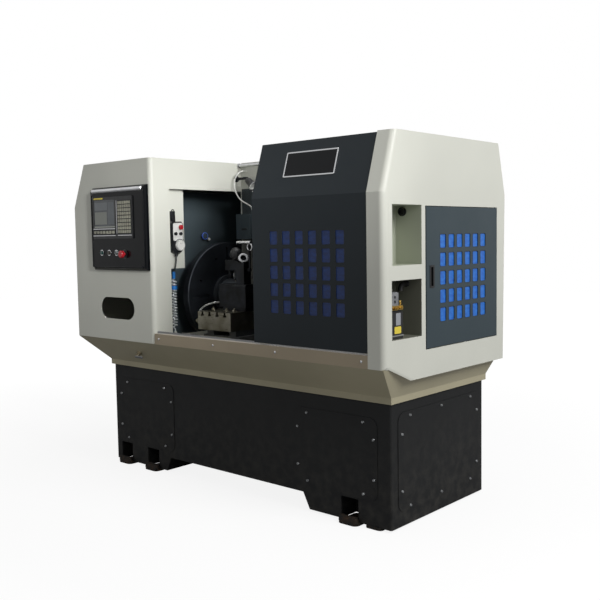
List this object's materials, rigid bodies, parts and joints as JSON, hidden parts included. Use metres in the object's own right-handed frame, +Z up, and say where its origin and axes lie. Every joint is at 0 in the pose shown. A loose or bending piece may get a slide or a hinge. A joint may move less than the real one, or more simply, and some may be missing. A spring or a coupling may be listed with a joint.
{
  "type": "cnc metal spinning machine",
  "caption": "Enclosed CNC spinning lathe: open work bay between a headstock pod with control panel and a windowed sliding hood, on a chip tray and a solid base.",
  "frame": {"origin": "on the floor, at the centre of the outer anchor holes, below the middle of the base", "axes": "+X along the bed to the tailstock end, +Y to the back, +Z up; -Y is the operator's side"},
  "size_m": [2.2105, 1.078, 1.746],
  "materials": {
    "cream_paint": "satin powder coat",
    "slate_paint": "satin powder coat",
    "door_paint": "satin powder coat",
    "base_paint": "textured",
    "casting_paint": "satin",
    "motor_paint": "satin",
    "ground_steel": "ground",
    "dark_steel": "oiled",
    "bright_steel": "polished",
    "cast_pads": "as cast",
    "door_tint": "polished",
    "hood_tint": "polished",
    "screen_glass": "polished",
    "black_plastic": "fine grain",
    "grey_plastic": "fine grain",
    "white_plastic": "fine grain",
    "green_plastic": "gloss",
    "amber_plastic": "gloss",
    "red_plastic": "gloss",
    "nylon": "fine grain",
    "belt_rubber": "matt",
    "hose_rubber": "matt",
    "pump_alloy": "cast",
    "valve_brass": "turned"
  },
  "bodies": {
    "machine": {"base_frame": "base_paint", "base_covers": "base_paint", "cover_screws": "dark_steel", "levelling_feet": "cast_pads", "chip_tray": "cream_paint", "front_apron": "cream_paint", "hood_rails": "bright_steel", "left_pod": "cream_paint", "rear_cabinet": "cream_paint", "rear_wall": "cream_paint", "right_end_cover": "cream_paint", "tailstock_guard": "slate_paint", "bed": "casting_paint", "headstock": "casting_paint", "spindle_bearings": "ground_steel", "headstock_guard": "slate_paint", "drive_motor": "motor_paint", "drive_belt": "belt_rubber", "tailstock_body": "casting_paint", "control_bezel": "black_plastic", "control_unit": "black_plastic", "display_glass": "screen_glass", "keypad": "grey_plastic", "pendant_body": "black_plastic", "pendant_lead": "hose_rubber", "pendant_coil": "hose_rubber", "lubricator_tank": "black_plastic", "lubricator_pump": "pump_alloy", "vent_plug": "black_plastic", "lamp_stem": "dark_steel", "air_hose": "white_plastic", "drain_cock": "valve_brass"},
    "hood": {"sliding_hood": "slate_paint", "hood_pane": "hood_tint", "hood_shoes": "nylon"},
    "door": {"end_door": "door_paint", "door_pane": "door_tint", "door_handle": "black_plastic"},
    "spindle_unit": {"spindle": "ground_steel", "faceplate": "dark_steel", "mandrel": "ground_steel"},
    "motor_rotor": {"motor_pulley": "ground_steel"},
    "carriage": {"saddle": "casting_paint"},
    "screw": {"feed_screw": "bright_steel"},
    "cross_slide": {"tslot_table": "ground_steel", "tool_post": "dark_steel", "table_hose": "hose_rubber"},
    "roller": {"forming_roller": "bright_steel"},
    "quill": {"tailstock_quill": "bright_steel"},
    "pad": {"pressure_pad": "ground_steel"},
    "button_1": {"push_button_1": "green_plastic"},
    "button_2": {"push_button_2": "amber_plastic"},
    "button_3": {"push_button_3": "white_plastic"},
    "panel_stop": {"emergency_stop": "red_plastic"},
    "handwheel": {"pendant_wheel": "grey_plastic"},
    "knob_left": {"pendant_knob_left": "black_plastic"},
    "knob_right": {"pendant_knob_right": "black_plastic"},
    "hand_stop": {"pendant_stop": "red_plastic"},
    "lamp": {"lamp_head": "white_plastic"},
    "tap_lever": {"drain_lever": "red_plastic"}
  },
  "joints": [
    {"name": "hood_slide", "type": "slide", "parent": "machine", "child": "hood", "axis": [1, 0, 0], "range_m": [-0.739, 0]},
    {"name": "door_hinge", "type": "hinge", "parent": "machine", "child": "door", "pos_m": [1.075, 0.383, 0.8], "axis": [0, 0, 1], "range_deg": [0, 100]},
    {"name": "spindle_turn", "type": "hinge", "parent": "machine", "child": "spindle_unit", "pos_m": [-0.6, 0, 0.985], "axis": [1, 0, 0], "continuous": true},
    {"name": "motor_turn", "type": "hinge", "parent": "machine", "child": "motor_rotor", "pos_m": [-1, 0.33, 0.86], "axis": [1, 0, 0], "continuous": true},
    {"name": "carriage_slide", "type": "slide", "parent": "machine", "child": "carriage", "axis": [1, 0, 0], "range_m": [-0.1, 0.28]},
    {"name": "screw_turn", "type": "hinge", "parent": "machine", "child": "screw", "pos_m": [0.3, 0, 0.69], "axis": [1, 0, 0], "continuous": true},
    {"name": "cross_feed", "type": "slide", "parent": "carriage", "child": "cross_slide", "axis": [0, 1, 0], "range_m": [-0.04, 0.06]},
    {"name": "roller_turn", "type": "hinge", "parent": "cross_slide", "child": "roller", "pos_m": [-0.19, -0.13, 1.105], "axis": [1, 0, 0], "continuous": true},
    {"name": "quill_slide", "type": "slide", "parent": "machine", "child": "quill", "axis": [1, 0, 0], "range_m": [-0.285, 0]},
    {"name": "pad_turn", "type": "hinge", "parent": "quill", "child": "pad", "pos_m": [0.04, 0, 0.985], "axis": [1, 0, 0], "continuous": true},
    {"name": "button_press_1", "type": "slide", "parent": "machine", "child": "button_1", "axis": [0, 1, 0], "range_m": [0, 0.003], "stiffness_N_per_m": 400},
    {"name": "button_press_2", "type": "slide", "parent": "machine", "child": "button_2", "axis": [0, 1, 0], "range_m": [0, 0.003], "stiffness_N_per_m": 400},
    {"name": "button_press_3", "type": "slide", "parent": "machine", "child": "button_3", "axis": [0, 1, 0], "range_m": [0, 0.003], "stiffness_N_per_m": 400},
    {"name": "panel_stop_press", "type": "slide", "parent": "machine", "child": "panel_stop", "axis": [0, 1, 0], "range_m": [0, 0.005], "stiffness_N_per_m": 800},
    {"name": "handwheel_turn", "type": "hinge", "parent": "machine", "child": "handwheel", "pos_m": [-0.417, -0.362, 1.272], "axis": [1, 0, 0], "continuous": true},
    {"name": "knob_left_turn", "type": "hinge", "parent": "machine", "child": "knob_left", "pos_m": [-0.417, -0.391, 1.334], "axis": [1, 0, 0], "range_deg": [-60, 60]},
    {"name": "knob_right_turn", "type": "hinge", "parent": "machine", "child": "knob_right", "pos_m": [-0.417, -0.357, 1.334], "axis": [1, 0, 0], "range_deg": [-60, 60]},
    {"name": "hand_stop_press", "type": "slide", "parent": "machine", "child": "hand_stop", "axis": [-1, 0, 0], "range_m": [0, 0.003], "stiffness_N_per_m": 400},
    {"name": "lamp_tilt", "type": "hinge", "parent": "machine", "child": "lamp", "pos_m": [-0.344, 0.08, 1.645], "axis": [0, 1, 0], "range_deg": [-25, 35]},
    {"name": "tap_turn", "type": "hinge", "parent": "machine", "child": "tap_lever", "pos_m": [-0.65, -0.49506, 0.65981], "axis": [0, -0.7145, -0.6996], "range_deg": [0, 90]}
  ],
  "couplings": [
    {"joint": "motor_turn", "follows": "spindle_turn", "ratio": 1.8333},
    {"joint": "screw_turn", "follows": "carriage_slide", "rad_per_m": 628.32}
  ]
}
